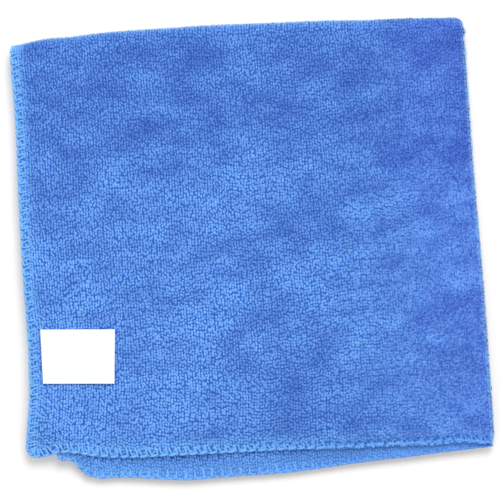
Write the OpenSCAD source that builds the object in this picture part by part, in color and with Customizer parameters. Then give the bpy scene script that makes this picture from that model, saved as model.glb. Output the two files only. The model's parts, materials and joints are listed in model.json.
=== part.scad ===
// A terry polishing cloth with an overlocked edge, folded in half twice and laid down flat.
// The first fold runs down the right side and the second along the top, so four leaves lie in a
// stack, with the sewn edges at the left and at the bottom. The upper half opens on the top fold.
// The origin is on the surface below the stack, under the middle of its outline. +Y is the top fold.

/* [Cloth] */
// Flat width of the cloth, along the top fold
cloth_w = 406; // [396:1:412]
// Thickness of one leaf, ground and pile
leaf_t = 2.4; // [2:0.1:2.8]
// Radius of the cut corners of the outer leaves and the hidden leaf
corner_r = 7; // [7:0.5:10]
// Radius of the eased corner of the inner leaf that shows below the top leaf
eased_corner_r = 16; // [10:1:18]

/* [Folds] */
// Width of the top leaf along the top fold
top_leaf_w = 201.2; // [196:0.2:206]
// Length of the side fold of the upper half, from the top fold to the sewn edge
side_fold_l = 189.6; // [180:0.2:196]
// Length of the two leaves of the lower half
lower_leaf_l = 184; // [172:0.5:186]
// How far the lower half lies inside the left edge of the top leaf
lower_inset = 1.2; // [0.5:0.1:4]
// Angle by which the side fold leans out towards the bottom
side_lean = 1.1; // [0.4:0.1:1.4]
// Angle by which the bottom edge of the top leaf falls to the right
edge_fall = 1; // [0:0.1:1.4]
// Clear gap between the two halves
half_gap = 0.3; // [0.2:0.05:0.6]

/* [Edging] */
// Width of the overlocked band
hem_w = 6.2; // [5.6:0.1:6.8]
// Thickness of the shorn ground inside the band
core_t = 1; // [0.8:0.1:1.2]
// Length of one stitch along the edge
stitch_l = 4.32; // [3.8:0.02:5]
// Width of a looper thread
looper_w = 0.7; // [0.5:0.05:0.8]
// Height of a looper thread
looper_t = 0.6; // [0.4:0.05:0.6]
// Width and height of the needle thread
needle_w = 0.5; // [0.4:0.05:0.5]

/* [Label] */
// Free length of the label, out from the edging
label_l = 33.4; // [24:0.2:40]
// Width of the label, along the edging
label_w = 24.4; // [18:0.2:30]
// Thickness of the label
label_t = 0.35; // [0.25:0.05:0.5]
// Distance from the middle of the cloth down to the upper corner of the label
label_drop = 30.4; // [10:0.2:44]
// Angle by which the label droops from square
label_skew = 2.8; // [0:0.1:4]
// Clear gap between the label and the leaf below it
label_gap = 0.4; // [0.3:0.05:0.6]

/* [Hidden] */
$fn = 64;
cloth_blue = "#5584DB";
thread_blue = "#69AFFA";
label_white = "#F4F5F6";

// Heights: the hinge line of the top fold is midway up the stack of four leaves.
hinge_z = 2 * leaf_t + half_gap / 2;
upper_z = hinge_z + half_gap / 2;
core_z = (leaf_t - core_t) / 2;
// Radii of the top fold's two wraps, about the hinge line.
inner_wrap_r = half_gap / 2;
outer_wrap_r = inner_wrap_r + leaf_t;
// The upper half stops this far short of the top fold, which stays with the lower half.
roll_gap = 0.1;

// Thread paths, as distances in from the cut edge: a looper runs outside the edge and just
// inside the needle line.
looper_out = -looper_w / 2;
looper_in = hem_w - 1.6;
needle_in = hem_w - 0.7;
overhang = looper_w;
// Shares of a stitch: the run along the edge, one rung and the run along the needle line.
edge_run = 0.5;
rung = 0.1;
needle_run = 0.3;
// A leg of the needle thread is drawn tight, to this share of the thread's width.
leg_share = 0.8;
// Number of flats in a rounded corner.
corner_steps = 12;

// The outline, centred on the origin: the inner leaf's eased corner reaches lowest, and the
// side fold reaches furthest right at its lower end.
inner_rise = 2 * side_lean + edge_fall;
side_reach = side_fold_l * sin(side_lean);
outline_w = overhang + top_leaf_w + side_reach + leaf_t * cos(side_lean);
left_x = -outline_w / 2 + overhang;
fold_top_x = left_x + top_leaf_w;
inner_leaf_w = cloth_w - top_leaf_w - PI * leaf_t / 2;
inner_left_x = fold_top_x - inner_leaf_w;
// Below the top fold, with the fold's line as zero, before the outline is centred in Y.
side_end_drop = side_fold_l * cos(side_lean);
inner_left_slope = tan(2 * side_lean);
inner_edge_slope = tan(inner_rise);
inner_corner_x = (inner_left_x + inner_left_slope
    * (side_end_drop + (fold_top_x + side_reach) * inner_edge_slope))
    / (1 + inner_left_slope * inner_edge_slope);
inner_corner_drop = side_end_drop
    + (fold_top_x + side_reach - inner_corner_x) * inner_edge_slope;
eased_half_angle = (90 + 2 * side_lean - inner_rise) / 2;
eased_low_drop = inner_corner_drop
    - eased_corner_r * sin(90 + 2 * side_lean) / tan(eased_half_angle)
    + eased_corner_r * (1 - sin(2 * side_lean)) + overhang;
top_y = (eased_low_drop - hinge_z) / 2;
side_end = [fold_top_x + side_reach, top_y - side_end_drop];

// A leaf is its sewn corner, the angles of its left and bottom edges there, its corner radius,
// its height, the line where it meets the top fold and the lean of its side fold.
TOP = [
    [left_x, side_end.y + (side_end.x - left_x) * tan(edge_fall)],
    90, -edge_fall, corner_r, upper_z + leaf_t, top_y - roll_gap, side_lean
];
UPPER_INNER = [
    [inner_corner_x, top_y - inner_corner_drop],
    90 + 2 * side_lean, inner_rise, eased_corner_r, upper_z, top_y - roll_gap, side_lean
];
LOWER_INNER = [
    [inner_left_x + lower_inset, top_y - lower_leaf_l],
    90, 0, corner_r, leaf_t, top_y, -side_lean
];
BOTTOM = [
    [left_x + lower_inset, top_y - lower_leaf_l],
    90, 0, corner_r, 0, top_y, -side_lean
];

function corner(leaf) = leaf[0];
function left_angle(leaf) = leaf[1];
function bottom_angle(leaf) = leaf[2];
function radius(leaf) = leaf[3];
function height(leaf) = leaf[4];
function end_y(leaf) = leaf[5];
function lean(leaf) = leaf[6];

function heading(angle) = [cos(angle), sin(angle)];
// Directions into the leaf, square to its left and bottom edges.
function left_in(leaf) = heading(left_angle(leaf) - 90);
function bottom_in(leaf) = heading(bottom_angle(leaf) + 90);
function turn(leaf) = 180 - left_angle(leaf) + bottom_angle(leaf);
function tangent(leaf) = radius(leaf) * tan(turn(leaf) / 2);
function arc_centre(leaf) = corner(leaf) + tangent(leaf) * heading(left_angle(leaf))
    + radius(leaf) * left_in(leaf);
function fold_x(leaf, y) = fold_top_x + (top_y - y) * tan(lean(leaf));

// The points where the line at a distance in from the sewn edge meets the top fold's line and
// the side fold's line.
function at_top_fold(leaf, inset) =
    let (start = corner(leaf) + inset * left_in(leaf))
    start + heading(left_angle(leaf)) * (end_y(leaf) - start.y) / sin(left_angle(leaf));
function at_side_fold(leaf, inset) =
    let (start = corner(leaf) + inset * bottom_in(leaf))
    let (run = heading(bottom_angle(leaf)))
    start + run * (fold_x(leaf, start.y) - start.x) / (run.x + run.y * tan(lean(leaf)));

// Lengths of the sewn edge: down the left, round the corner, along the bottom.
function left_run(leaf) = norm(at_top_fold(leaf, 0) - corner(leaf)) - tangent(leaf);
function arc_run(leaf) = radius(leaf) * turn(leaf) * PI / 180;
function bottom_run(leaf) = norm(at_side_fold(leaf, 0) - corner(leaf)) - tangent(leaf);

// A point a given way along the sewn edge, and a given distance in from it.
function edge_point(leaf, along, inset) =
    along < left_run(leaf)
        ? corner(leaf) + inset * left_in(leaf)
            + heading(left_angle(leaf)) * (left_run(leaf) + tangent(leaf) - along)
        : along < left_run(leaf) + arc_run(leaf)
            ? arc_centre(leaf) + (radius(leaf) - inset) * heading(left_angle(leaf) + 90
                + turn(leaf) * (along - left_run(leaf)) / arc_run(leaf))
            : corner(leaf) + inset * bottom_in(leaf) + heading(bottom_angle(leaf))
                * (tangent(leaf) + along - left_run(leaf) - arc_run(leaf));

// The line at a distance in from the sewn edge, from the top fold round to the side fold.
function edge_line(leaf, inset) = concat(
    [at_top_fold(leaf, inset)],
    [for (i = [0:corner_steps])
        edge_point(leaf, left_run(leaf) + arc_run(leaf) * i / corner_steps, inset)],
    [at_side_fold(leaf, inset)]
);

function leaf_outline(leaf, inset) = concat(
    edge_line(leaf, inset),
    [[fold_x(leaf, end_y(leaf)), end_y(leaf)]]
);

function reversed(points) = [for (i = [len(points) - 1:-1:0]) points[i]];

// A leaf is full thick inside its edging, and shorn to a thin core under the stitches.
module leaf_solid(leaf) {
    color(cloth_blue)
    translate([0, 0, height(leaf)]) {
        linear_extrude(leaf_t)
            polygon(leaf_outline(leaf, hem_w));
        translate([0, 0, core_z])
            linear_extrude(core_t)
            polygon(leaf_outline(leaf, 0));
    }
}

// Half a round bar along +Y, bulging to +X.
module half_round(r_in, r_out, len) {
    rotate([-90, 0, 0])
        rotate([0, 0, -90])
        rotate_extrude(angle = 180)
        translate([r_in, 0])
        square([r_out - r_in, len]);
}

// The rounded side fold joins two leaves, and thins to the core at its sewn end.
module side_fold(foot, lean_angle, z, len) {
    color(cloth_blue)
    translate([foot.x, foot.y, z])
    rotate([0, 0, lean_angle]) {
        half_round(core_z, core_z + core_t, hem_w);
        translate([0, hem_w, 0])
            half_round(0, leaf_t, len - hem_w);
    }
}

// Half a tube round the hinge line of the top fold, between two places along X.
module wrap(r_in, thick, from_x, to_x) {
    translate([0, top_y, hinge_z])
        rotate([0, 90, 0])
        rotate_extrude(angle = 180)
        translate([r_in, from_x])
        square([thick, to_x - from_x]);
}

// The corner where both folds cross: half a ring of half-round section, past the side fold's line.
module corner_nose() {
    intersection() {
        translate([fold_top_x, top_y, hinge_z])
            rotate([0, 90, 0])
            rotate_extrude(angle = 180)
            translate([outer_wrap_r, 0])
            circle(leaf_t);
        translate([fold_top_x, top_y - hinge_z, 0])
            cube([2 * leaf_t, 3 * hinge_z, 2 * hinge_z]);
    }
}

// A looper thread zigzags between the cut edge and the needle line, as one flat ribbon. Its
// two sides are mitred, and side is 1 for the inner one and -1 for the outer one.
function stitch_side(leaf, from, side) =
    let (rise = looper_in - looper_out)
    let (mitre = side * looper_w / 2 * tan(atan2(rise, rung * stitch_l) / 2))
    let (half = side * looper_w / 2)
    let (up = from + edge_run * stitch_l)
    let (over = up + rung * stitch_l)
    let (down = over + needle_run * stitch_l)
    [
        edge_point(leaf, up - mitre, looper_out + half),
        edge_point(leaf, over - mitre, looper_in + half),
        edge_point(leaf, down + mitre, looper_in + half),
        edge_point(leaf, down + rung * stitch_l + mitre, looper_out + half)
    ];

function stitch_count(leaf) =
    floor((left_run(leaf) + arc_run(leaf) + bottom_run(leaf)) / stitch_l) - 2;

module looper(leaf, phase, z) {
    first = (0.5 + phase) * stitch_l;
    starts = [for (i = [0:stitch_count(leaf) - 1]) first + i * stitch_l];
    inner = [for (from = starts) each stitch_side(leaf, from, 1)];
    outer = [for (from = starts) each stitch_side(leaf, from, -1)];
    color(thread_blue)
    translate([0, 0, height(leaf) + z])
        linear_extrude(looper_t)
        polygon(concat(inner, reversed(outer)));
}

module face_looper(leaf) {
    looper(leaf, 0, core_z + core_t);
}

module back_looper(leaf) {
    looper(leaf, 0.5, core_z - looper_t);
}

// The needle thread runs along the face as one ribbon, with a leg through the cloth at each stitch.
module needle_thread(leaf) {
    near = needle_in - needle_w / 2;
    far = needle_in + needle_w / 2;
    foot = core_t + looper_t / 2;
    color(thread_blue)
    translate([0, 0, height(leaf) + core_z + core_t]) {
        linear_extrude(needle_w)
            polygon(concat(edge_line(leaf, near), reversed(edge_line(leaf, far))));
        for (i = [1:stitch_count(leaf)])
            translate(edge_point(leaf, (i + 0.25) * stitch_l, needle_in))
            translate([0, 0, -foot])
            cylinder(d = leg_share * needle_w, h = foot + needle_w / 2);
    }
}

module top_leaf() {
    leaf_solid(TOP);
}

module upper_inner_leaf() {
    leaf_solid(UPPER_INNER);
}

module lower_inner_leaf() {
    leaf_solid(LOWER_INNER);
}

module bottom_leaf() {
    leaf_solid(BOTTOM);
}

module upper_side_fold() {
    side_fold(side_end, side_lean, upper_z + leaf_t, side_fold_l - 2 * roll_gap);
}

module lower_side_fold() {
    foot = at_side_fold(BOTTOM, 0);
    side_fold(foot, -side_lean, leaf_t, norm([fold_top_x, top_y] - foot) - roll_gap);
}

module outer_top_fold() {
    color(cloth_blue) {
        wrap(outer_wrap_r, leaf_t, left_x + lower_inset + hem_w, fold_top_x);
        wrap(outer_wrap_r + core_z, core_t, left_x + lower_inset, fold_top_x);
        corner_nose();
    }
}

module inner_top_fold() {
    start = inner_left_x + lower_inset;
    color(cloth_blue) {
        wrap(inner_wrap_r, leaf_t, start + hem_w, fold_top_x);
        wrap(inner_wrap_r + core_z, core_t, start, fold_top_x);
    }
}

// The label is a flat tape with a rounded sewn end, which is the line that it lifts on.
module label() {
    droop = label_l * tan(label_skew);
    hinge_x = left_x + hem_w + label_t / 2;
    color(label_white)
    translate([hinge_x, -label_drop, hinge_z * 2 + label_gap]) {
        linear_extrude(label_t)
            polygon([
                [0, 0], [0, -label_w],
                [label_l, -label_w - droop], [label_l, -droop]
            ]);
        translate([0, 0, label_t / 2])
            rotate([90, 0, 0])
            cylinder(d = label_t, h = label_w);
    }
}

top_leaf();
upper_inner_leaf();
lower_inner_leaf();
bottom_leaf();
upper_side_fold();
lower_side_fold();
outer_top_fold();
inner_top_fold();
face_looper(TOP);  // top_face_looper
back_looper(TOP);  // top_back_looper
needle_thread(TOP);  // top_needle_thread
face_looper(UPPER_INNER);  // upper_inner_face_looper
back_looper(UPPER_INNER);  // upper_inner_back_looper
needle_thread(UPPER_INNER);  // upper_inner_needle_thread
face_looper(LOWER_INNER);  // lower_inner_face_looper
back_looper(LOWER_INNER);  // lower_inner_back_looper
needle_thread(LOWER_INNER);  // lower_inner_needle_thread
face_looper(BOTTOM);  // bottom_face_looper
back_looper(BOTTOM);  // bottom_back_looper
needle_thread(BOTTOM);  // bottom_needle_thread
label();
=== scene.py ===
import json
import math

import bpy
import numpy as np
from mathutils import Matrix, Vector


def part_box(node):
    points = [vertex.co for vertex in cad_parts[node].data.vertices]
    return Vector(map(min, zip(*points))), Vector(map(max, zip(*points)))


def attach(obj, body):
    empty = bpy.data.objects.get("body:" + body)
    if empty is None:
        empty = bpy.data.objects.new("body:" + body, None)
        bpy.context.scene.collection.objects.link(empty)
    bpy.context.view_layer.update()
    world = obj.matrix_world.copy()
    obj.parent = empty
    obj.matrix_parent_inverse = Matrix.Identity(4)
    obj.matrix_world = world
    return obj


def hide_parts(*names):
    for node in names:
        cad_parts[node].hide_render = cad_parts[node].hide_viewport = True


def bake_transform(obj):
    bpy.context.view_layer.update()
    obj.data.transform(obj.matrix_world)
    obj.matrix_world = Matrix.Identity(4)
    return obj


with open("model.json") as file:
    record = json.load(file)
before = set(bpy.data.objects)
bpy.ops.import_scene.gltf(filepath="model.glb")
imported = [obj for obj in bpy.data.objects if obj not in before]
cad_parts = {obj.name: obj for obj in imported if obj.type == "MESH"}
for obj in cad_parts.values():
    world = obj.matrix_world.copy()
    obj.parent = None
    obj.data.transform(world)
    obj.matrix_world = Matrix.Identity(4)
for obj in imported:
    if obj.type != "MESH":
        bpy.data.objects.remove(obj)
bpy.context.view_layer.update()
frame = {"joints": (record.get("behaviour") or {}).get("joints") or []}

bpy.ops.object.select_all(action="DESELECT")

# The ground of the cloth: one knitted microfibre panel, folded in half to the right-hand side
# fold and again over the top, so that four leaves lie in a stack. It is drawn as four sheets
# that meet at the top fold: the two halves, and the outer and the inner wrap of the fold.
MM = 0.001
LEAF_THICK = 2.4
LEAF_GAP = 0.15
GROUND_HALF = 0.5

top_low, top_high = (np.array(p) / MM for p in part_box("top_leaf"))
bottom_low = np.array(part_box("bottom_leaf")[0]) / MM
inner_low = np.array(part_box("lower_inner_leaf")[0]) / MM
side_low, side_high = (np.array(p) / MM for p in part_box("upper_side_fold"))
hinge = next(j for j in frame["joints"] if j["name"] == "top_fold")
fold_y, fold_z = (value / MM for value in hinge["pos_m"][1:])

# The strip of two leaves is folded round this radius at the top, and each leaf round half its
# own thickness at the side.
STRIP_R = LEAF_THICK + LEAF_GAP
SIDE_R = LEAF_THICK / 2
side_top_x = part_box("inner_top_fold")[1][0] / MM
side_foot_x = side_high[0] - LEAF_THICK
side_foot_y = side_low[1]
side_slope = (side_foot_x - side_top_x) / (fold_y - side_foot_y)
# A leaf's size, and the radius of the corners of the top leaf, of the inner leaf that is tucked
# back under it, and of the lower half.
LEAF_WIDE = 203.0
LEAF_LONG = 188.0
CORNER_R = 5.0
TUCKED_R = 2.0
UNDER_R = 10.0


# A smooth step from 0 at the start to 1 at the end, and a smooth hump of height 1.
def rise(t, start, end):
    t = np.clip((t - start) / (end - start), 0.0, 1.0)
    return t * t * (3.0 - 2.0 * t)


def swell(t, middle, width):
    return np.exp(-(((t - middle) / width) ** 2))


# How far a slack edge wanders from a straight line: humps, each with its height, middle and width,
# and rises, each with its height, start and end, all in mm.
def wander(t, humps=(), rises=()):
    total = 0.0 * t
    for height, middle, width in humps:
        total = total + height * swell(t, middle, width)
    for height, start, end in rises:
        total = total + height * rise(t, start, end)
    return total


# The side fold of the upper half bulges just below the top and again towards the foot. The lower
# half's is straight, and mirrors its lean.
SIDE_HUMPS = [(1.2, 94.0, 2.0)]
SIDE_RISES = [(0.66, 96.0, 86.0), (0.9, 45.0, -30.0), (-0.8, -86.0, -93.0)]


def upper_side(y):
    return side_top_x + side_slope * (fold_y - y) + wander(y, SIDE_HUMPS, SIDE_RISES)


def lower_side(y):
    return side_top_x - side_slope * (fold_y - y)


# The top fold's line sags at both ends, most at the left, where the edging pulls it in. It keeps
# clear of the hinge line, so that the halves don't run into each other when they open.
FOLD_ROOM = 0.35
FOLD_SAG, FOLD_MIDDLE, FOLD_REACH = 1.3, -12.0, 112.0
FOLD_HUMPS = [(-1.3, -81.0, 15.0), (-0.5, 58.0, 13.0)]
FOLD_RISES = [(-1.4, -84.0, -106.0)]


def top_line(x):
    sag = FOLD_SAG * ((x - FOLD_MIDDLE) / FOLD_REACH) ** 2
    return fold_y - FOLD_ROOM - sag + wander(x, FOLD_HUMPS, FOLD_RISES)


# The top leaf's sewn edge, at the left, is drawn in at its middle and let out at the foot.
LEFT_OUT = 0.3
LEFT_HUMPS = [(0.9, -38.0, 24.0), (0.4, 58.0, 18.0)]
LEFT_RISES = [(-0.4, 72.0, 90.0), (-2.6, -56.0, -88.0)]


def top_leaf_left(y):
    return top_low[0] - LEFT_OUT + wander(y, LEFT_HUMPS, LEFT_RISES)


# To the right the foot's edge is rolled under in two steps, and each takes its chain of stitches
# this far in.
ROLL_IN = 0.6
FOOT_ROLL = [(ROLL_IN, 15.0, 40.0), (ROLL_IN, 52.0, 77.0), (-ROLL_IN, 82.0, 94.0)]


def rolled(x):
    return wander(x, rises=FOOT_ROLL)


# The top leaf's foot is hitched up near its corner. Where it is rolled it hangs lower, by a share
# of the roll.
FOOT_UP = 1.8
ROLL_HANG = 0.75
FOOT_HUMPS = [(3.65, -91.0, 15.0), (-0.8, -98.0, 4.5)]
FOOT_RISES = [(0.4, -52.0, -72.0), (-0.5, 5.0, 35.0), (0.5, 78.0, 90.0), (-1.7, 84.0, 104.0)]


def top_leaf_bottom(x):
    return side_foot_y + FOOT_UP - ROLL_HANG * rolled(x) + wander(x, FOOT_HUMPS, FOOT_RISES)


# The inner leaf shows below the top leaf, with a slack belly and its corner tucked back.
INNER_CORNER = (-92.3, -89.0)
INNER_LEAN = 10.8 / 187.0
INNER_DOWN = 1.9
INNER_SLOPE = math.tan(math.radians(3.2))
INNER_HUMPS = [(-1.2, 12.0, 24.0)]
INNER_RISES = [(-0.55, 86.0, 62.0), (5.0, -28.0, -72.0), (2.4, -72.0, -82.0), (7.7, -79.0, -87.4)]


def inner_leaf_left(y):
    return INNER_CORNER[0] - INNER_LEAN * (y - INNER_CORNER[1])


def inner_leaf_bottom(x):
    line = side_foot_y - INNER_DOWN + INNER_SLOPE * (x - side_foot_x)
    return line + wander(x, INNER_HUMPS, INNER_RISES)


# The lower half lies square under the upper one, with a slight wave in its foot.
LOWER_WAVE, LOWER_WAVE_LONG = 0.8, 31.0


def bottom_leaf_left(y):
    return bottom_low[0]


def lower_inner_left(y):
    return inner_low[0]


def lower_bottom(x):
    return bottom_low[1] + LOWER_WAVE * np.sin(x / LOWER_WAVE_LONG)


# Where a point of a leaf lies on the table: across is 0 at the sewn edge and 1 at the side fold,
# up is 0 at the bottom edge and 1 at the top fold. Each edge depends on the place along it, so
# the place is found in rounds.
PLACE_ROUNDS = 8


def leaf_point(left, right, bottom, across, up):
    x, y = (across - 0.5) * LEAF_WIDE, (up - 0.5) * LEAF_LONG
    for _ in range(PLACE_ROUNDS):
        x = left(y) * (1.0 - across) + right(y) * across
        y = bottom(x) * (1.0 - up) + top_line(x) * up
    return x, y


# A leaf's corner is cut round, so its square of cloth is pulled in to a quarter disc.
def round_corner(across, up, corner_r):
    from_side = np.clip(1.0 - across * LEAF_WIDE / corner_r, 0.0, 1.0)
    from_foot = np.clip(1.0 - up * LEAF_LONG / corner_r, 0.0, 1.0)
    pull = np.maximum(from_side, from_foot) / np.maximum(np.hypot(from_side, from_foot), 1e-9)
    near = (from_side > 0.0) & (from_foot > 0.0)
    return (np.where(near, (1.0 - from_side * pull) * corner_r / LEAF_WIDE, across),
            np.where(near, (1.0 - from_foot * pull) * corner_r / LEAF_LONG, up))


# A point's shares across and up its leaf, and how far it lies from the nearer sewn edge, in mm.
def leaf_shares(c, r):
    across = np.clip(np.where(c < 1.5, c, 3.0 - c), 0.0, 1.0)
    up = np.clip(np.where(r < 1.5, r, 3.0 - r), 0.0, 1.0)
    return across, up, np.minimum(across * LEAF_WIDE, up * LEAF_LONG)


# Near a sewn edge the cloth is pressed by the stitches to a share of its thickness.
HEM_WIDE = 6.2
HEM_FLAT = 2.0
HEM_SHARE = 0.55
# The roll of the top fold is fullest in the middle, flatter at the left end, where only the edging
# is folded, and rounded off at the right.
ROLL_FULL = 1.075
ROLL_HUMPS = [(0.085, -14.0, 18.0)]
ROLL_RISES = [(-0.45, -84.0, -104.0), (-0.15, 60.0, 100.0)]
ROLL_END, ROLL_END_R, ROLL_END_DROP = 96.4, 3.9, 0.75
# The feet of the upper half hang where nothing lies under them, and the top leaf's corner droops,
# because the inner leaf's is tucked back from under it.
HANG_ABOVE, HANG_OVER = 2.0, 16.0
HANG_TOP, HANG_INNER = 1.2, 2.6
CORNER_DROOP = 2.2
DROOP_X, DROOP_Y = (-88.0, -100.0), (-74.0, -86.0)
# The stack isn't pressed. It settles at the sewn edges by a depth over a width, less for the inner
# leaf by a share, and swells and ripples a little in between.
EDGE_SETTLE = [(0.55, 26.0, 0.6), (0.6, 8.0, 1.0)]
RIPPLE, RIPPLE_INNER_LESS = 0.22, 0.7
RIPPLE_WAVES = [(17.0, 41.0), (-53.0, 23.0)]


# The folded cloth. Along a course c runs 0 to 1 over the outer leaves, to 2 round the side fold
# and to 3 back over the inner leaves. Along a wale r runs 0 to 1 up the upper half, to 2 over the
# top fold and to 3 down the lower half. h is the height over the middle of the ground.
def folded(c, r, h):
    c, r, h = np.broadcast_arrays(np.float64(c), np.float64(r), np.float64(h))
    across, up, inset = leaf_shares(c, r)
    corner_r = np.where(r < 1.5, np.where(c > 1.5, TUCKED_R, CORNER_R), UNDER_R)
    across, up = round_corner(across, up, corner_r)
    inner = np.clip(c - 1.0, 0.0, 1.0)
    lower = np.clip(r - 1.0, 0.0, 1.0)
    x, y = np.zeros(c.shape), np.zeros(c.shape)
    for share, left, right, bottom in (
        ((1 - inner) * (1 - lower), top_leaf_left, upper_side, top_leaf_bottom),
        (inner * (1 - lower), inner_leaf_left, upper_side, inner_leaf_bottom),
        ((1 - inner) * lower, bottom_leaf_left, lower_side, lower_bottom),
        (inner * lower, lower_inner_left, lower_side, lower_bottom),
    ):
        leaf_x, leaf_y = leaf_point(left, right, bottom, across, up)
        x, y = x + share * leaf_x, y + share * leaf_y
    h = h * (HEM_SHARE + (1.0 - HEM_SHARE) * rise(inset, HEM_FLAT, HEM_WIDE))
    side_r = SIDE_R + h
    strip_r = STRIP_R + side_r * np.cos(inner * math.pi)
    x = x + side_r * np.sin(inner * math.pi)
    past = np.clip((x - ROLL_END) / ROLL_END_R, 0.0, 1.0)
    bulge = ROLL_FULL + wander(x, ROLL_HUMPS, ROLL_RISES)
    bulge = bulge - ROLL_END_DROP * (1.0 - np.sqrt(1.0 - past ** 2))
    y = y + bulge * strip_r * np.sin(lower * math.pi)
    hang_y = bottom_low[1] + HANG_ABOVE
    fall = rise(y, hang_y, hang_y - HANG_OVER) * (HANG_INNER * inner + HANG_TOP * (1.0 - inner))
    fall = fall + CORNER_DROOP * (1.0 - inner) * rise(x, *DROOP_X) * rise(y, *DROOP_Y)
    for depth, width, inner_less in EDGE_SETTLE:
        fall = fall + depth * (1.0 - rise(inset, 0.0, width)) * (1.0 - inner_less * inner)
    first, second = (np.sin(x / long_x + y / long_y) for long_x, long_y in RIPPLE_WAVES)
    ripple = RIPPLE * first * second * (1.0 - RIPPLE_INNER_LESS * inner)
    z = fold_z + strip_r * np.cos(lower * math.pi) + (1.0 - lower) * (ripple - fall)
    return np.stack([x, y, z], axis=-1)


def stops(start, end, steps):
    return np.linspace(start, end, steps + 1)


def paint(piece, name, values):
    piece.data.attributes.new(name, "FLOAT", "POINT").data.foreach_set("value", values.ravel())


# Under the stitches the ground is shorn and lighter, most on the inside face, and there it is also
# painted light that makes the gaps less dark. On the outside face it is lighter by less, a painted
# shade in the gaps of the stitches.
SHORN_FADE = 2.0
SHORN_OUTSIDE_SHADED = 0.3
SMOOTH_UNDER = math.radians(50.0)


def ground_sheet(name, course_stops, wale_stops):
    columns, rows = len(course_stops) - 1, len(wale_stops) - 1
    bpy.ops.mesh.primitive_grid_add(x_subdivisions=columns, y_subdivisions=rows, size=1.0)
    piece = bpy.context.object
    piece.name = name
    bpy.ops.object.mode_set(mode="EDIT")
    bpy.ops.mesh.select_all(action="SELECT")
    bpy.ops.mesh.extrude_region_move(TRANSFORM_OT_translate={"value": (0.0, 0.0, 1.0)})
    bpy.ops.object.mode_set(mode="OBJECT")
    flat = np.array([v.co for v in piece.data.vertices])
    column = np.rint((flat[:, 0] + 0.5) * columns).astype(int)
    row = np.rint((flat[:, 1] + 0.5) * rows).astype(int)
    h = GROUND_HALF * np.where(flat[:, 2] > 0.5, 1.0, -1.0)
    placed = folded(course_stops[column], wale_stops[row], h) * MM
    piece.data.vertices.foreach_set("co", placed.ravel())
    inset = leaf_shares(course_stops[column], wale_stops[row])[2]
    hem_and_painted_light = 1.0 - rise(inset, HEM_WIDE, HEM_WIDE + SHORN_FADE)
    paint(piece, "hem_and_painted_light", hem_and_painted_light * np.where(h < 0.0, 1.0, SHORN_OUTSIDE_SHADED))
    piece.data.update()
    bpy.ops.object.mode_set(mode="EDIT")
    bpy.ops.mesh.select_all(action="SELECT")
    bpy.ops.mesh.normals_make_consistent(inside=False)
    bpy.ops.object.mode_set(mode="OBJECT")
    bpy.ops.object.shade_smooth_by_angle(angle=SMOOTH_UNDER)
    piece.select_set(False)
    return piece


LEAF_STEPS = 90
TURN_STEPS = 8
ROLL_STEPS = 14
outer_stops, inner_stops = stops(0.0, 1.0, LEAF_STEPS), stops(2.0, 3.0, LEAF_STEPS)
side_stops = stops(1.0, 2.0, TURN_STEPS)
all_stops = np.concatenate([outer_stops[:-1], side_stops, inner_stops[1:]])
half_turn = TURN_STEPS // 2
upper_ground = ground_sheet("upper_ground", all_stops, outer_stops)
lower_ground = ground_sheet("lower_ground", all_stops, inner_stops)
outer_roll_ground = ground_sheet(
    "outer_roll_ground", np.concatenate([outer_stops[:-1], side_stops[:half_turn + 1]]),
    stops(1.0, 2.0, ROLL_STEPS))
inner_roll_ground = ground_sheet(
    "inner_roll_ground", np.concatenate([side_stops[half_turn:], inner_stops[1:]]),
    stops(1.0, 2.0, ROLL_STEPS))


def linear(hex_colour):
    parts = [int(hex_colour[i:i + 2], 16) / 255.0 for i in (1, 3, 5)]
    return [p / 12.92 if p <= 0.04045 else ((p + 0.055) / 1.055) ** 2.4 for p in parts] + [1.0]


def add_node(tree, kind, settings=None, inputs=None):
    node = tree.nodes.new(kind)
    for key, value in (settings or {}).items():
        setattr(node, key, value)
    for key, value in (inputs or {}).items():
        if isinstance(value, bpy.types.NodeSocket):
            tree.links.new(value, node.inputs[key])
        else:
            node.inputs[key].default_value = value
    return node


def new_finish(name, specular):
    material = bpy.data.materials.new(name)
    material.use_nodes = True
    shader = material.node_tree.nodes["Principled BSDF"]
    shader.inputs["Specular IOR Level"].default_value = specular
    return material, material.node_tree, shader


# The colour, the relief and the gloss of a finish. The depth is in mm, and what stands out of the
# relief is the rougher.
def surface(shader, colour, relief, depth, smooth, rough):
    tree = shader.id_data
    bump = add_node(tree, "ShaderNodeBump", inputs={"Height": relief, "Distance": depth * MM})
    gloss = add_node(tree, "ShaderNodeMapRange", inputs={
        "Value": relief, "To Min": smooth, "To Max": rough})
    tree.links.new(colour, shader.inputs["Base Color"])
    tree.links.new(bump.outputs["Normal"], shader.inputs["Normal"])
    tree.links.new(gloss.outputs["Result"], shader.inputs["Roughness"])


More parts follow.
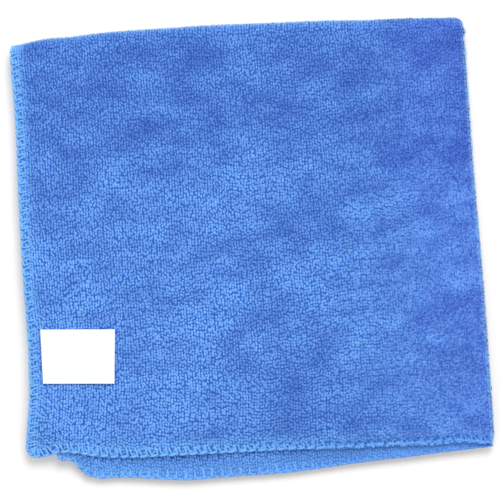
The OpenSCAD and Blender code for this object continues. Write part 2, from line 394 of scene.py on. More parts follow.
# Dyed polyester microfibre, knitted: a matt deep blue ground that shows between the loops, painted
# darker than the loops as the shade between them, and shorn and lighter under the stitches of the
# edge.
def knitted_ground():
    material, tree, shader = new_finish("microfibre_ground", specular=0.2)
    knit_long = 1.2 * MM
    place = add_node(tree, "ShaderNodeTexCoord").outputs["Object"]
    knit = add_node(tree, "ShaderNodeTexNoise", inputs={
        "Vector": place, "Scale": 1 / knit_long}).outputs["Fac"]
    deep = add_node(tree, "ShaderNodeMix", {"data_type": "RGBA"}, {
        "Factor": knit, "A": linear("#2E5CB0"), "B": linear("#3C70C4")})
    shorn = add_node(tree, "ShaderNodeMix", {"data_type": "RGBA"}, {
        "Factor": knit, "A": linear("#4680D4"), "B": linear("#5E9AE8")})
    hem_and_painted_light = add_node(tree, "ShaderNodeAttribute", {"attribute_name": "hem_and_painted_light"}).outputs["Fac"]
    tone = add_node(tree, "ShaderNodeMix", {"data_type": "RGBA"}, {
        "Factor": hem_and_painted_light, "A": deep.outputs["Result"], "B": shorn.outputs["Result"]})
    surface(shader, tone.outputs["Result"], knit, depth=0.2, smooth=0.8, rough=1.0)
    return material


# A wrap of the top fold rides on no body; it is only baked in place.
def bend_at_top(piece):
    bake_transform(piece)


OUTER_WRAP = STRIP_R + SIDE_R
INNER_WRAP = STRIP_R - SIDE_R - GROUND_HALF
ground_finish = knitted_ground()
for piece in (upper_ground, lower_ground, outer_roll_ground, inner_roll_ground):
    piece.data.materials.append(ground_finish)
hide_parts("top_leaf", "upper_inner_leaf", "upper_side_fold")
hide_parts("bottom_leaf", "lower_inner_leaf", "lower_side_fold")
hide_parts("outer_top_fold")
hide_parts("inner_top_fold")
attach(upper_ground, "upper_half")
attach(lower_ground, "lower_half")
bend_at_top(outer_roll_ground)
bend_at_top(inner_roll_ground)

# The terry pile: short loops of the same yarn, knitted into the ground in columns called wales
# and rows called courses. Each loop is a rounded tuft, and the tufts lean one way and another
# where the nap was brushed. Under the stitches of the edge they are pressed low.
WALE = 1.23
COURSE = 1.42
TUFT_SIZE = np.array([0.70, 0.95, 0.54])
TUFT_SEAT = 0.5
TUFT_SIDES, TUFT_RINGS = 5, 4
TUFT_CUT = 0.01
TUFT_APART = 3.0
draws = np.random.default_rng(7)


# A row of balls, one for each loop, cut just above the middle, and the points of the first one.
def tuft_row(name, count):
    bpy.ops.mesh.primitive_uv_sphere_add(segments=TUFT_SIDES, ring_count=TUFT_RINGS, radius=1.0)
    piece = bpy.context.object
    piece.name = name
    bpy.ops.object.mode_set(mode="EDIT")
    bpy.ops.mesh.select_all(action="SELECT")
    bpy.ops.mesh.bisect(plane_co=(0.0, 0.0, TUFT_CUT), plane_no=(0.0, 0.0, 1.0), clear_inner=True)
    bpy.ops.object.mode_set(mode="OBJECT")
    row = piece.modifiers.new("copies", "ARRAY")
    row.use_relative_offset = False
    row.use_constant_offset = True
    row.constant_offset_displace = (TUFT_APART, 0.0, 0.0)
    row.count = count
    bpy.ops.object.modifier_apply(modifier="copies")
    bpy.ops.object.shade_smooth()
    points = np.zeros(len(piece.data.vertices) * 3)
    piece.data.vertices.foreach_get("co", points)
    shape = points.reshape(count, -1, 3)[0]
    return piece, shape - [0.0, 0.0, shape[:, 2].min()]


# A smooth random field over the cloth, mostly within -1 to 1, from a few sine waves of one length
# in mm. The waves are drawn out across the cloth by stretch.
FIELD_WAVES = 6


def field(p, length, seed, stretch=1.0):
    total = np.zeros(len(p))
    for way, phase in np.random.default_rng(seed).uniform(0.0, 2.0 * math.pi, (FIELD_WAVES, 2)):
        ahead = p[:, 0] / stretch * math.cos(way) + p[:, 1] * math.sin(way)
        total += np.sin(2.0 * math.pi * ahead / length + phase)
    return total / (FIELD_WAVES / 2)


def turned(a, b, angle):
    c, s = np.cos(angle)[:, None], np.sin(angle)[:, None]
    return a * c - b * s, a * s + b * c


# The loops of one span, odd or even wales. A wale lies a little higher or lower than the last.
CLIMB = 0.28


def loops(c_span, r_span, wide, long, lane):
    columns, rows = max(2, round(wide / WALE)), max(2, round(long / COURSE))
    column, row = np.meshgrid(np.arange(lane, columns, 2), np.arange(rows), indexing="ij")
    climb = np.cumsum(np.random.default_rng(17).normal(0.0, CLIMB, columns)) % 1.0
    c = c_span[0] + (c_span[1] - c_span[0]) * (column.ravel() + 0.5) / columns
    r = r_span[0] + (r_span[1] - r_span[0]) * (row.ravel() + climb[column.ravel()]) / rows
    return c, r


# The loops jostle each other, and part in short wavy lines across the cloth. None of those on a
# leaf hangs over the line of the top fold.
WALE_JOSTLE, WALE_WAVE = 0.14 * WALE, 0.05
COURSE_JOSTLE, COURSE_WAVE = 0.17 * COURSE, 0.1
FOLD_CLEAR = 0.6


def jostled(c, r):
    flat = np.column_stack([c * LEAF_WIDE, r * LEAF_LONG])
    on_upper, on_lower = r < 1.0, r > 2.0
    c_off = draws.normal(0.0, WALE_JOSTLE, len(c)) + WALE_WAVE * field(flat, 5.0, seed=9)
    r_off = draws.normal(0.0, COURSE_JOSTLE, len(r))
    r_off = r_off + COURSE_WAVE * field(flat, 6.0, seed=8, stretch=3.0)
    c, r = c + c_off / LEAF_WIDE, r + r_off / LEAF_LONG
    clear = FOLD_CLEAR / LEAF_LONG
    r = np.where(on_upper, np.minimum(r, 1.0 - clear), r)
    return c, np.where(on_lower, np.maximum(r, 2.0 + clear), r)


# Where each loop stands, and its ways along the course, along the wale and out of the cloth.
def stand(c, r, face):
    step = 1e-4
    height = face * TUFT_SEAT
    along_c = folded(c + step, r, height) - folded(c - step, r, height)
    along_r = folded(c, r + step, height) - folded(c, r - step, height)
    along_c /= np.linalg.norm(along_c, axis=1, keepdims=True)
    out = np.cross(along_c, along_r) * face
    out /= np.linalg.norm(out, axis=1, keepdims=True)
    return folded(c, r, height), along_c, np.cross(out, along_c), out


# How far in the foot's chain of stitches is rolled at a point of the cloth.
def foot_roll(c, r):
    return np.where((c < 1.0) & (r < 1.0), rolled((c - 0.5) * LEAF_WIDE), 0.0)


# The stitches of the edge, along a leaf's foot and up its side.
STITCH = 4.32
FOOT_STITCHES = round(LEAF_WIDE / STITCH)
SIDE_STITCHES = round(LEAF_LONG / STITCH)
# A gap's middle as a share of the stitch, its inset, its half width as a share, its half length
# and its slant, a share for each mm of inset. A rolled foot carries its gaps in with it.
SLIT = (0.36, 1.35, 0.10, 0.48, 0.18)
PIT = (0.68, 2.3, 0.13, 0.4, 0.065)
GAP_ROLL = 0.8


# Each stitch of the edge parts the loops twice, in a slit between its two legs and in a pit behind
# its chain. Both slant. The answer is 1 in the middle of a gap and 0 away from it.
def stitch_gap(c, r):
    across, up, inset = leaf_shares(c, r)
    way = np.where(r < 1.5, 1.0, -1.0)
    by_foot = up * LEAF_LONG < across * LEAF_WIDE
    share = np.where(by_foot, way * c * FOOT_STITCHES, -way * r * SIDE_STITCHES)
    inset = inset - GAP_ROLL * foot_roll(c, r)
    deepest = np.zeros(np.shape(c))
    for middle, mid_inset, half_wide, half_long, slant in SLIT, PIT:
        off = (share + slant * (inset - mid_inset) - middle + 0.5) % 1.0 - 0.5
        gap = swell(off, 0.0, half_wide) * swell(inset, mid_inset, half_long)
        deepest = np.maximum(deepest, gap)
    return deepest


# The stitches lie deep in the pile up the left edge and towards the right of the foot, and stand
# clear of it near the corner between.
SUNK_SIDE = [(0.7, -90.0, -74.0)]
SUNK_FOOT = [(0.7, -60.0, 10.0), (0.3, 10.0, 50.0), (-0.35, 52.0, 72.0)]


def sunk_share(x, y):
    return np.maximum(wander(x, rises=SUNK_FOOT), wander(y, rises=SUNK_SIDE))


# Towards the top left the wales show as lines, -1, and towards the bottom right the courses do, 1.
LINES_MIDDLE, LINES_OVER, LINES_DRIFT = 0.4, 300.0, 0.2


def line_way(seat):
    drift = LINES_DRIFT * field(seat, 60.0, seed=4)
    return 2.0 * rise(LINES_MIDDLE + (seat[:, 0] - seat[:, 1]) / LINES_OVER + drift, 0.0, 1.0) - 1.0


# The pile is fuller towards the right, less so near the top: its loops are wider and lower there.
FULL_ACROSS, FULL_UP, FULL_LOST = (20.0, 90.0), (10.0, 70.0), 0.55


def fullness(seat):
    return rise(seat[:, 0], *FULL_ACROSS) * (1.0 - FULL_LOST * rise(seat[:, 1], *FULL_UP))


# How much of the edging's lighter colour a loop shows: two bands in from the sewn edge, each with
# its share, start and end, which fade out along the top leaf's foot, and the ledge of the rolled
# foot. On the inside face the same lighter colour is nearly even: there it is painted light,
# lifting the shadow that the top leaf's edge casts on the inner leaf's foot.
HEM_BANDS = [(0.55, 1.5, 4.5), (0.45, 4.8, 6.6)]
INSIDE_LIGHT, INSIDE_LIGHT_LESS = 0.55, 0.2
HEM_FOOT_FADE, HEM_FOOT_LESS = (8.0, 65.0), 0.85
LEDGE = (1.8, 1.0)


def hem_share(c, r, inset, x, free, face):
    hem_and_painted_light = INSIDE_LIGHT - INSIDE_LIGHT_LESS * free
    if face > 0.0:
        hem_and_painted_light = sum(share * (1.0 - rise(inset, start, end)) for share, start, end in HEM_BANDS)
    hem_and_painted_light = hem_and_painted_light * (1.0 - HEM_FOOT_LESS * rise(x, *HEM_FOOT_FADE) * (c < 1.0))
    return np.maximum(hem_and_painted_light, rise(inset, *LEDGE) * np.minimum(foot_roll(c, r) / ROLL_IN, 1.0))


# How far a point is turned round a fold: 0 on the leaves and 1 in the middle of the fold.
def fold_turn(t):
    return np.sin(np.clip(t - 1.0, 0.0, 1.0) * math.pi)


# A painted highlight: light catches the loops that stand out from the upper half's side fold, down
# to its middle, and from the top fold.
RIM_SIDE, RIM_SIDE_POWER, RIM_UNDER = 0.8, 1.8, (1.5, 1.7)
RIM_TOP, RIM_TOP_POWER = 0.5, 8


def rim_highlight(c, r):
    side = RIM_SIDE * fold_turn(c) ** RIM_SIDE_POWER * (1.0 - rise(c, *RIM_UNDER)) * (r < 1.5)
    return np.maximum(side, RIM_TOP * fold_turn(r) ** RIM_TOP_POWER)


# Each loop has its own square in the map that the finish is kept in, and fills most of it.
SQUARE_FILL = 0.45


def own_squares(piece, shape, count):
    side = math.ceil(math.sqrt(count))
    corner = np.zeros(len(piece.data.loops), dtype=np.int32)
    piece.data.loops.foreach_get("vertex_index", corner)
    loop, point = corner // len(shape), corner % len(shape)
    square = np.stack([loop % side, loop // side], axis=1)
    laid = (square + 0.5 + SQUARE_FILL * shape[point, :2]) / side
    piece.data.uv_layers.remove(piece.data.uv_layers[0])
    piece.data.uv_layers.new(name="OFBake").data.foreach_set("uv", laid.ravel())


# The edge is bare of loops to here, less where it is rolled, and so are the gaps of the stitches.
# Further in the loops rise from a pressed share of their height.
BARE_TO, BARE_ROLL, BARE_LEAST = 0.5, 1.2, 0.05
GAP_BARE = 0.6
PRESSED_TO, FREE_FROM = 1.5, 7.6
PRESSED_SHARE = 0.6
# How far a loop turns, leans and tilts, in radians, at random and together with its neighbours.
TURN, LEAN, TILT = 0.18, 0.12, 0.1
TURN_TOGETHER, LEAN_TOGETHER = 0.1, 0.15
# How a loop's width, length and height spread, with their limits, and how they follow the lines
# and the fullness of the pile.
GROW_SPREAD, GROW_LIMITS, GROW_FULL = 0.08, (0.7, 1.3), 0.2
WIDE, WIDE_LINES, LONG_LINES = 1.03, 0.10, 0.12
TALL_SPREAD, TALL_LIMITS = 0.09, (0.6, 1.4)
TALL_WAVE, TALL_LINES, TALL_FULL = 0.05, 0.15, 0.6
# Round the side fold the loops stand apart, some longer than others.
SIDE_TALLER, SIDE_RAGGED = 0.2, 0.8
# How frosty a loop is: painted shade at its foot and a painted highlight towards its tip, a random
# share, and less, as painted shade, in a gap of the stitches.
LIGHT_AT_FOOT, LIGHT_TO_TIP, TIP_FALL = 0.35, 0.65, 0.6
FROST, FROST_SPREAD, FROST_FULL, TIP_FULL, GAP_SHADE = -0.98, 0.06, 0.25, 0.8, 1.3


def pile(name, c, r, face=1.0):
    c, r = jostled(c, r)
    inset = leaf_shares(c, r)[2]
    kept = inset > np.maximum(BARE_TO - BARE_ROLL * foot_roll(c, r), BARE_LEAST)
    if face > 0.0:
        kept &= stitch_gap(c, r) < GAP_BARE
    c, r, inset = c[kept], r[kept], inset[kept]
    count = len(c)
    seat, along_c, along_r, out = stand(c, r, face)
    turn = draws.normal(0.0, TURN, count) + TURN_TOGETHER * field(seat, 13.0, seed=5)
    lean = draws.normal(0.0, LEAN, count) + LEAN_TOGETHER * field(seat, 47.0, seed=3)
    tilt = draws.normal(0.0, TILT, count)
    lines = line_way(seat) if face > 0.0 else np.full(count, -1.0)
    fuller = fullness(seat)
    grow = np.clip(draws.normal(1.0, GROW_SPREAD, count), *GROW_LIMITS) * (1.0 + GROW_FULL * fuller)
    wide, long = grow * (WIDE + WIDE_LINES * lines), grow * (1.0 - LONG_LINES * lines)
    free = rise(inset, PRESSED_TO, FREE_FROM)
    low = PRESSED_SHARE + (1.0 - PRESSED_SHARE) * sunk_share(seat[:, 0], seat[:, 1])
    tall = np.clip(draws.normal(1.0, TALL_SPREAD, count), *TALL_LIMITS) * (low + (1.0 - low) * free)
    tall = tall * (1.0 + TALL_WAVE * field(seat, 4.0, seed=6))
    tall = tall * (1.0 - TALL_LINES * lines) * (1.0 - TALL_FULL * fuller)
    ragged = SIDE_TALLER + SIDE_RAGGED * field(seat, 6.0, seed=11)
    tall = tall * (1.0 + fold_turn(c) * ragged)

    piece, shape = tuft_row(name, count)
    local = shape[None] * TUFT_SIZE * np.column_stack([wide, long, tall])[:, None]
    x, y = turned(local[..., 0], local[..., 1], turn)
    y, z = turned(y, local[..., 2], lean)
    z, x = turned(z, x, tilt)
    placed = (seat[:, None] + x[..., None] * along_c[:, None] + y[..., None] * along_r[:, None]
              + z[..., None] * out[:, None])
    placed[..., 2] = np.maximum(placed[..., 2], 0.0)
    piece.data.vertices.foreach_set("co", (placed * MM).ravel())

    # Painted shade in the gaps of the stitches: the loops there are darker and lose the edging's
    # lighter colour.
    gap = np.zeros(x.shape)
    if face > 0.0:
        gap = stitch_gap(c[:, None] + x / LEAF_WIDE, r[:, None] + y / LEAF_LONG)
    frost = draws.normal(FROST, FROST_SPREAD, count) + FROST_FULL * fuller
    height = np.clip(shape[:, 2] / shape[:, 2].max(), 0.0, 1.0) ** TIP_FALL
    tip = LIGHT_AT_FOOT + LIGHT_TO_TIP * height * (1.0 - TIP_FULL * fuller)[:, None]
    hem_and_painted_light = hem_share(c, r, inset, seat[:, 0], free, face)
    paint(piece, "tip", tip + frost[:, None] - GAP_SHADE * gap)
    paint(piece, "hem_and_painted_light", hem_and_painted_light[:, None] * (1.0 - gap))
    paint(piece, "gap", gap)
    # The painted highlight on the rims of the folds.
    paint(piece, "rim", np.repeat(rim_highlight(c, r), len(shape)))
    own_squares(piece, shape, count)
    piece.data.update()
    piece.select_set(False)
    return piece


# The same microfibre, split and fluffed: flecks of frosty tips over a deep blue, with a painted
# highlight at each loop's tip and painted shade at its foot, in slanting streaks of painted light
# and shade where the nap lies another way. It is duller by the top fold and towards the bottom
# right, more violet by the side fold, pale in the hem, with painted light on the inside face, a
# painted highlight on the rim of the folds and painted shade in the gaps of the stitches. Single
# fibres are too fine to show, so they are drawn 0.3 mm wide.
def terry_pile():
    material, tree, shader = new_finish("microfibre_terry", specular=0.2)
    shader.inputs["Sheen Weight"].default_value = 0.1
    shader.inputs["Sheen Roughness"].default_value = 0.5
    shader.inputs["Sheen Tint"].default_value = linear("#9CC4FF")
    place = add_node(tree, "ShaderNodeTexCoord").outputs["Object"]
    across, along, _ = add_node(tree, "ShaderNodeSeparateXYZ", inputs={"Vector": place}).outputs
    to_foot = add_node(tree, "ShaderNodeMath", {"operation": "SUBTRACT"}, {
        0: across, 1: along}).outputs[0]
    brushed = add_node(tree, "ShaderNodeMapping", inputs={
        "Vector": place, "Rotation": (0.0, 0.0, math.radians(-24.0)), "Scale": (0.5, 1.0, 1.0)})
    # The streaks of painted light and shade where the nap lies another way, each with its length in
    # mm and its share.
    nap_shading = 0.0
    for length, share in ((30.0, 0.6), (8.0, 0.7)):
        streak = add_node(tree, "ShaderNodeTexNoise", inputs={
            "Vector": brushed.outputs["Vector"], "Scale": 1 / (length * MM),
            "Detail": 2.0, "Roughness": 0.6})
        nap_shading = add_node(tree, "ShaderNodeMath", {"operation": "MULTIPLY_ADD"}, {
            0: streak.outputs["Fac"], 1: share, 2: nap_shading}).outputs[0]
    # The fades over the cloth, each from a place to a place in mm and from a share to a share:
    # painted light and shade of the nap, darker by the top fold and lighter towards the foot, a
    # little lighter at the left and duller towards the bottom right.
    for value, start, end, low, high in (
        (along, 96.0, -85.0, -0.16, 0.20),
        (across, -90.0, 10.0, 0.06, 0.0),
        (to_foot, -40.0, 170.0, 0.0, -0.31),
    ):
        fade = add_node(tree, "ShaderNodeMapRange", {"interpolation_type": "SMOOTHSTEP"}, {
            "Value": value, "From Min": start * MM, "From Max": end * MM,
            "To Min": low, "To Max": high})
        nap_shading = add_node(tree, "ShaderNodeMath", {"operation": "ADD"}, {
            0: nap_shading, 1: fade.outputs["Result"]}).outputs[0]
    patch = add_node(tree, "ShaderNodeMapRange", inputs={
        "Value": nap_shading, "From Min": 0.36, "From Max": 0.84}).outputs["Result"]
    # A loop's foot is a deep blue darkened as painted shade, and its tip is frosty and lightened as
    # a painted highlight. Each is duller or brighter across the streaks.
    deep, frosty_highlight = (add_node(tree, "ShaderNodeMix", {"data_type": "RGBA"}, {
        "Factor": patch, "A": linear(dull), "B": linear(bright)}).outputs["Result"]
        for dull, bright in (("#1446A3", "#3A87EB"), ("#5781D8", "#81B7FA")))
    # Flecks a little longer along the wale than across it.
    fleck_wide, fleck_drawn, fleck_strong = 0.6 * MM, 0.65, 1.66
    drawn = add_node(tree, "ShaderNodeMapping", inputs={
        "Vector": place, "Scale": (1.0, fleck_drawn, 1.0)})
    fleck = add_node(tree, "ShaderNodeTexNoise", inputs={
        "Vector": drawn.outputs["Vector"], "Scale": 1 / fleck_wide, "Detail": 0.0}).outputs["Fac"]
    tip = add_node(tree, "ShaderNodeAttribute", {"attribute_name": "tip"}).outputs["Fac"]
    frost = add_node(tree, "ShaderNodeMath", {"operation": "MULTIPLY_ADD"}, {
        0: fleck, 1: fleck_strong, 2: tip})
    base = add_node(tree, "ShaderNodeMix", {"data_type": "RGBA"}, {
        "Factor": frost.outputs[0], "A": deep, "B": frosty_highlight})
    # Over this go the edging's lighter colour, which is also painted light on the inside face,
    # painted shade in the gaps of the stitches, and a painted highlight on the rims of the folds.
    for mark, tint in (("hem_and_painted_light", "#74B4FA"), ("gap", "#1C4A98"), ("rim", "#B8ECFF")):
        share = add_node(tree, "ShaderNodeAttribute", {"attribute_name": mark}).outputs["Fac"]
        base = add_node(tree, "ShaderNodeMix", {"data_type": "RGBA"}, {
            "Factor": share, "A": base.outputs["Result"], "B": linear(tint)})
    loop = add_node(tree, "ShaderNodeNewGeometry").outputs["Random Per Island"]
    speck = add_node(tree, "ShaderNodeMapRange", inputs={
        "Value": loop, "To Min": 0.97, "To Max": 1.03})
    violet = add_node(tree, "ShaderNodeMapRange", {"interpolation_type": "SMOOTHSTEP"}, {
        "Value": across, "From Min": 40.0 * MM, "From Max": 104.0 * MM,
        "To Min": 0.5, "To Max": 0.508})
    tone = add_node(tree, "ShaderNodeHueSaturation", inputs={
        "Hue": violet.outputs["Result"], "Value": speck.outputs["Result"],
        "Color": base.outputs["Result"]})
    fibre_wide = 0.3 * MM
    fibres = add_node(tree, "ShaderNodeTexNoise", inputs={
        "Vector": place, "Scale": 1 / fibre_wide}).outputs["Fac"]
    surface(shader, tone.outputs["Color"], fibres, depth=0.06, smooth=0.75, rough=0.95)
    return material


pile_finish = terry_pile()
outer, turn, inner = (0.0, 1.0), (1.0, 2.0), (2.0, 3.0)
upper, over, lower = (0.0, 1.0), (1.0, 2.0), (3.0, 2.0)
side_arc = math.pi * (SIDE_R + TUFT_SEAT)
outer_arc = math.pi * (OUTER_WRAP + TUFT_SEAT)
inner_arc = math.pi * INNER_WRAP
# A span of loops rides on a body, or lies round a wrap of the top fold and is baked in place.
for name, body, c_span, r_span, wide, long in (
    ("top", "upper_half", outer, upper, LEAF_WIDE, LEAF_LONG),
    ("upper_side", "upper_half", turn, upper, side_arc, LEAF_LONG),
    ("upper_inner", "upper_half", inner, upper, LEAF_WIDE, LEAF_LONG),
    ("lower_inner", "lower_half", inner, lower, LEAF_WIDE, LEAF_LONG),
    ("lower_side", "lower_half", turn, lower, side_arc, LEAF_LONG),
    ("bottom", "lower_half", outer, lower, LEAF_WIDE, LEAF_LONG),
    ("outer_roll", OUTER_WRAP, outer, over, LEAF_WIDE, outer_arc),
    ("outer_roll_side", OUTER_WRAP, (1.0, 1.5), over, side_arc / 2, outer_arc),
    ("inner_roll", INNER_WRAP, inner, over, LEAF_WIDE, inner_arc),
):
    for lane, lane_name in ((0, "odd"), (1, "even")):
        piece = pile(f"{name}_pile_{lane_name}", *loops(c_span, r_span, wide, long, lane))
        piece.data.materials.append(pile_finish)
        if isinstance(body, str):
            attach(piece, body)
        else:
            bend_at_top(piece)

# The cloth is terry on both faces. The inside of the fold shows only along the inner leaf's foot.
INSIDE_LONG = 26.0
for lane, lane_name in ((0, "odd"), (1, "even")):
    inside = loops(inner, (0.0, INSIDE_LONG / LEAF_LONG), LEAF_WIDE, INSIDE_LONG, lane)
    piece = pile(f"rim_pile_{lane_name}", *inside, face=-1.0)
    piece.data.materials.append(pile_finish)
    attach(piece, "upper_half")

# The overlocked edge: three textured polyester threads sewn over the cut edge. The face looper
# crosses the band on the outside, the back looper on the inside, and they lock in a chain along
# the edge. The needle thread holds both, a band's width in.
THREAD_R = 0.44
NEEDLE_R = 0.4

# One stitch of each thread: share of the stitch along the edge, inset and height in mm, and share
# of the thread's thickness.
FACE_STITCH = [
    (0.20, 0.30, 0.50, 0.9), (0.16, 1.40, 0.90, 1.0), (0.06, 3.00, 0.95, 1.0),
    (-0.02, 4.40, 0.78, 0.85), (0.12, 5.20, 0.45, 0.7), (0.30, 4.40, 0.78, 0.85),
    (0.42, 3.00, 0.90, 0.9), (0.53, 1.50, 0.85, 0.9), (0.66, 0.55, 0.50, 0.9),
    (0.66, -0.15, -0.15, 0.7), (0.73, 0.25, -0.60, 1.0), (0.90, 0.15, -0.75, 1.2),
    (1.07, 0.25, -0.60, 1.0), (1.14, -0.15, -0.15, 0.7),
]
BACK_STITCH = [
    (0.44, 0.00, 0.40, 0.6), (0.60, -0.05, 0.85, 1.1), (0.86, 0.10, 0.95, 1.4),
    (1.08, 0.40, 0.85, 1.1), (1.20, 0.80, 0.35, 0.6), (1.26, -0.35, -0.10, 0.6),
    (1.26, 0.30, -0.70, 1.0), (1.35, 1.40, -0.90, 0.7), (1.35, 3.00, -0.95, 0.6),
    (1.36, 4.40, -0.85, 0.5), (1.39, 5.00, -0.70, 0.5), (1.42, 4.40, -0.85, 0.5),
    (1.41, 3.00, -0.95, 0.6), (1.43, 1.40, -0.90, 0.7), (1.52, 0.30, -0.70, 1.0),
    (1.52, -0.20, -0.20, 0.6),
]
NEEDLE_STITCH = [
    (0.10, 5.50, 0.10, 0.8), (0.30, 5.50, 0.40, 1.0), (0.60, 5.50, 0.48, 1.1),
    (0.90, 5.50, 0.40, 1.0),
]


# A stitch stands up in full on the top leaf, less where it is sunk in the pile, under that leaf and
# round the side fold. Up the sides it reaches a little further in.
PRESSED_RISE = 0.72
SUNK_LESS = 0.7
ROUND_LESS = 0.5
SIDE_REACH = 1.05
ROUTE_POINTS = 900
ROUTE_LIFT = 0.2


# The line of a sewn edge, with how many stitches there are up to each point of it, and the way
# out of the cloth, the share of the rise, the reach and the shift inwards there.
def edge_route(corners, roll_stitches):
    legs = [np.linspace(a, b, ROUTE_POINTS) for a, b in zip(corners[:-1], corners[1:])]
    c, r = np.concatenate(legs).T
    line = folded(c, r, 0.0)
    out = folded(c, r, ROUTE_LIFT) - line
    foot = np.interp(c, range(4), np.cumsum([0, FOOT_STITCHES, 1, FOOT_STITCHES]))
    side = np.interp(r, range(4), np.cumsum([0, SIDE_STITCHES, roll_stitches, SIDE_STITCHES]))
    run = np.cumsum(np.abs(np.diff(foot, prepend=foot[0])) + np.abs(np.diff(side, prepend=side[0])))
    kept = np.concatenate([[True], np.diff(run) > 1e-6])
    on_top = (c < 1.5) & (r < 1.5)
    share = np.where(on_top, 1.0, PRESSED_RISE) * (1.0 - ROUND_LESS * fold_turn(c))
    share = share * (1.0 - SUNK_LESS * sunk_share(line[:, 0], line[:, 1]) * on_top)
    reach = np.where((c > 0.0) & (c < 3.0), 1.0, SIDE_REACH)
    shift = foot_roll(c, r) * (c > 0.0)
    return run[kept], np.column_stack([line, out, share, reach, shift])[kept]


# Points along an edge, each with its stitch count, its inset from the edge and its height over the
# middle of the cloth. The edge's direction is taken over a part of a stitch each way.
LOOK_AHEAD = 0.35


def along_edge(route, s, inset, height):
    def at(where):
        return np.stack([np.interp(where, route[0], column) for column in route[1].T], axis=1)
    here = at(s)
    middle = np.clip(s, LOOK_AHEAD, route[0][-1] - LOOK_AHEAD)
    ahead = at(middle + LOOK_AHEAD)[:, :3] - at(middle - LOOK_AHEAD)[:, :3]
    normal = here[:, 3:6] / np.linalg.norm(here[:, 3:6], axis=1, keepdims=True)
    inward = np.cross(normal, ahead)
    inward /= np.linalg.norm(inward, axis=1, keepdims=True)
    share, reach, shift = here[:, 6:].T
    inset = inset * reach + shift * (height > 0.0)
    height = height * np.where(height > 0.0, share, PRESSED_RISE)
    return here[:, :3] + inset[:, None] * inward + height[:, None] * normal


# A smooth curve through the rows of points, with a few steps from each to the next.
def smoothed(points, steps):
    knots = np.concatenate([points[:1], points, points[-1:]])
    a, b, c, d = knots[:-3], knots[1:-2], knots[2:-1], knots[3:]
    between = [0.5 * (2 * b + (c - a) * t + (2 * a - 5 * b + 4 * c - d) * t ** 2
                      + (3 * b - a - 3 * c + d) * t ** 3) for t in np.arange(steps) / steps]
    return np.stack(between, axis=1).reshape(-1, points.shape[1])


# No stitch is quite like the next: each lies a little on or back, and reaches further in or less.
STITCH_SPREAD = 0.04
REACH_SPREAD, REACH_FROM, REACH_LEAST = 0.16, 5.0, 0.2
HEIGHT_SPREAD = 0.05


def thread(name, corners, roll_stitches, stitch, radius, steps):
    route = edge_route(np.array(corners, dtype=float), roll_stitches)
    count = round(route[0][-1])
    share, inset, height, thick = np.tile(np.array(stitch), (count, 1)).T
    each = np.repeat(np.arange(count), len(stitch))
    s = each + share + draws.normal(0.0, STITCH_SPREAD, count)[each]
    reach = draws.normal(0.0, REACH_SPREAD, count)[each]
    inset = inset + reach * np.clip(inset / REACH_FROM, REACH_LEAST, 1.0)
    height = height + draws.normal(0.0, HEIGHT_SPREAD, len(height))
    points = along_edge(route, s, inset, height)
    points[:, 2] = np.maximum(points[:, 2], radius * thick)
    path = smoothed(np.column_stack([points * MM, thick]), steps)
    curve = bpy.data.curves.new(name, "CURVE")
    curve.dimensions = "3D"
    curve.bevel_depth = radius * MM
    curve.bevel_resolution = 1
    curve.use_fill_caps = True
    spline = curve.splines.new("POLY")
    spline.points.add(len(path) - 1)
    spline.points.foreach_set("co", np.column_stack([path[:, :3], np.ones(len(path))]).ravel())
    spline.points.foreach_set("radius", path[:, 3].copy())
    piece = bpy.data.objects.new(name, curve)
    bpy.context.collection.objects.link(piece)
    bpy.context.view_layer.objects.active = piece
    piece.select_set(True)
    bpy.ops.object.convert(target="MESH")
    piece = bpy.context.object
    bpy.ops.object.shade_smooth()
    piece.select_set(False)
    return piece


# Textured polyester thread: a lighter, cleaner blue than the pile, soft and slightly lustrous,
# with the crimp of its loose filaments. Towards the right it is a little deeper in tone.
def edging_thread():
    material, tree, shader = new_finish("textured_polyester_thread", specular=0.3)
    shader.inputs["Sheen Weight"].default_value = 0.2
    crimp_long = 0.6 * MM
    place = add_node(tree, "ShaderNodeTexCoord").outputs["Object"]
    crimp = add_node(tree, "ShaderNodeTexNoise", inputs={
        "Vector": place, "Scale": 1 / crimp_long}).outputs["Fac"]
    across = add_node(tree, "ShaderNodeSeparateXYZ", inputs={"Vector": place}).outputs["X"]
    deeper = add_node(tree, "ShaderNodeMapRange", {"interpolation_type": "SMOOTHSTEP"}, {
        "Value": across, "From Min": -60.0 * MM, "From Max": 95.0 * MM,
        "To Min": 0.15, "To Max": -0.45})
    light = add_node(tree, "ShaderNodeMath", {"operation": "ADD"}, {
        0: crimp, 1: deeper.outputs["Result"]})
    tone = add_node(tree, "ShaderNodeMix", {"data_type": "RGBA"}, {
        "Factor": light.outputs[0], "A": linear("#5CA2FC"), "B": linear("#8ACCFF")})
    surface(shader, tone.outputs["Result"], crimp, depth=0.1, smooth=0.55, rough=0.8)
    return material


thread_finish = edging_thread()
for half, corners, roll_stitches in (
    ("upper", [(0, 1), (0, 0), (3, 0), (3, 1)], 1),
    ("inner_roll", [(3, 1), (3, 2)], 1),
    ("lower", [(3, 2), (3, 3), (0, 3), (0, 2)], 1),
    ("outer_roll", [(0, 2), (0, 1)], 3),
):
    for kind, stitch, radius, steps in (
        ("face_looper", FACE_STITCH, THREAD_R, 3),
        ("back_looper", BACK_STITCH, THREAD_R, 3),
        ("needle_thread", NEEDLE_STITCH, NEEDLE_R, 2),
    ):
        piece = thread(f"{half}_{kind}", corners, roll_stitches, stitch, radius, steps)
        piece.data.materials.append(thread_finish)
        if half == "upper":
            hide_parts(f"top_{kind}", f"upper_inner_{kind}")
            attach(piece, "upper_half")
        elif half == "lower":
            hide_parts(f"bottom_{kind}", f"lower_inner_{kind}")
            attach(piece, "lower_half")
        else:
            bend_at_top(piece)

